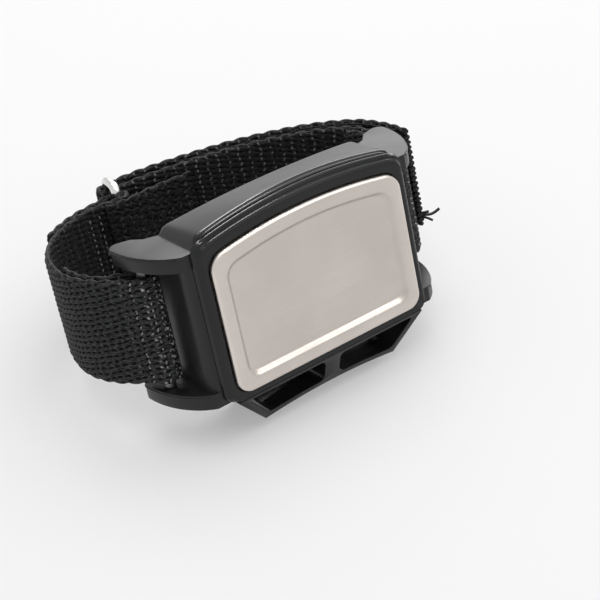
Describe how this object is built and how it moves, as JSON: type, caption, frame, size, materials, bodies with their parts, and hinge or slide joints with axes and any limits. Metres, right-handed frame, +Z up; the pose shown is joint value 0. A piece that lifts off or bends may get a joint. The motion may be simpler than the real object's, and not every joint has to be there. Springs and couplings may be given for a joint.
{
  "type": "magnetic wristband",
  "caption": "Magnetic wristband: steel-faced magnet case with lugs and a slotted tool guard, on a webbing strap closed through a wire ring with a hook-and-loop tail.",
  "frame": {"origin": "middle of the bounding box, on the surface that the band stands on", "axes": "+X along the case, to the right as the plate is looked at; +Y from the plate towards the back of the strap; +Z up"},
  "size_m": [0.089, 0.0722, 0.052],
  "materials": {
    "plate": "satin, bright rolled rim",
    "case": "fine moulded texture",
    "webbing": "coarse black webbing",
    "tape": "hook and loop",
    "ring": "plated wire",
    "hardware": "plain steel",
    "magnet": "ground ferrite"
  },
  "bodies": {
    "case": {"face_plate": "plate", "front_bezel": "case", "mid_case": "case", "magnet_left": "magnet", "magnet_right": "magnet", "magnet_yoke": "hardware", "back_cover": "case", "cover_screw_1": "hardware", "cover_screw_2": "hardware", "cover_screw_3": "hardware", "cover_screw_4": "hardware", "bar_tube_left": "hardware", "bar_spring_left": "hardware", "bar_tube_right": "hardware", "bar_spring_right": "hardware"},
    "short_strap": {"short_strap": "webbing"},
    "buckle_ring": {"buckle_ring": "ring"},
    "long_strap": {"long_strap": "webbing", "loop_tape": "tape"},
    "strap_tail": {"strap_tail": "webbing", "hook_tape": "tape"},
    "tip_left_upper": {"bar_tip_left_upper": "hardware"},
    "tip_left_lower": {"bar_tip_left_lower": "hardware"},
    "tip_right_upper": {"bar_tip_right_upper": "hardware"},
    "tip_right_lower": {"bar_tip_right_lower": "hardware"}
  },
  "joints": [
    {"name": "short_strap_swing", "type": "hinge", "parent": "case", "child": "short_strap", "pos_m": [-0.03334, -0.01811, 0.02637], "axis": [0, 0.2358, 0.9718], "range_deg": [-0.8, 0.8], "stiffness_Nm_per_rad": 0.05},
    {"name": "ring_swivel", "type": "hinge", "parent": "short_strap", "child": "buckle_ring", "pos_m": [-0.01494, 0.02388, 0.01618], "axis": [0, 0.2358, 0.9718], "range_deg": [-8, 8]},
    {"name": "long_strap_swing", "type": "hinge", "parent": "case", "child": "long_strap", "pos_m": [0.03266, -0.01811, 0.02637], "axis": [0, 0.2358, 0.9718], "range_deg": [-0.2, 0.2]},
    {"name": "tail_peel", "type": "hinge", "parent": "long_strap", "child": "strap_tail", "pos_m": [-0.01384, 0.0332, 0.01392], "axis": [0, 0.2358, 0.9718], "range_deg": [0, 40]},
    {"name": "tip_left_upper_push", "type": "slide", "parent": "case", "child": "tip_left_upper", "axis": [0, -0.2358, -0.9718], "range_m": [0, 0.002], "stiffness_N_per_m": 500, "deforming": ["bar_spring_left"]},
    {"name": "tip_left_lower_push", "type": "slide", "parent": "case", "child": "tip_left_lower", "axis": [0, 0.2358, 0.9718], "range_m": [0, 0.002], "stiffness_N_per_m": 500, "deforming": ["bar_spring_left"]},
    {"name": "tip_right_upper_push", "type": "slide", "parent": "case", "child": "tip_right_upper", "axis": [0, -0.2358, -0.9718], "range_m": [0, 0.002], "stiffness_N_per_m": 500, "deforming": ["bar_spring_right"]},
    {"name": "tip_right_lower_push", "type": "slide", "parent": "case", "child": "tip_right_lower", "axis": [0, 0.2358, 0.9718], "range_m": [0, 0.002], "stiffness_N_per_m": 500, "deforming": ["bar_spring_right"]}
  ],
  "couplings": [
    {"joint": "ring_swivel", "follows": "short_strap_swing", "ratio": -9.1},
    {"joint": "long_strap_swing", "follows": "short_strap_swing", "ratio": -0.2}
  ]
}
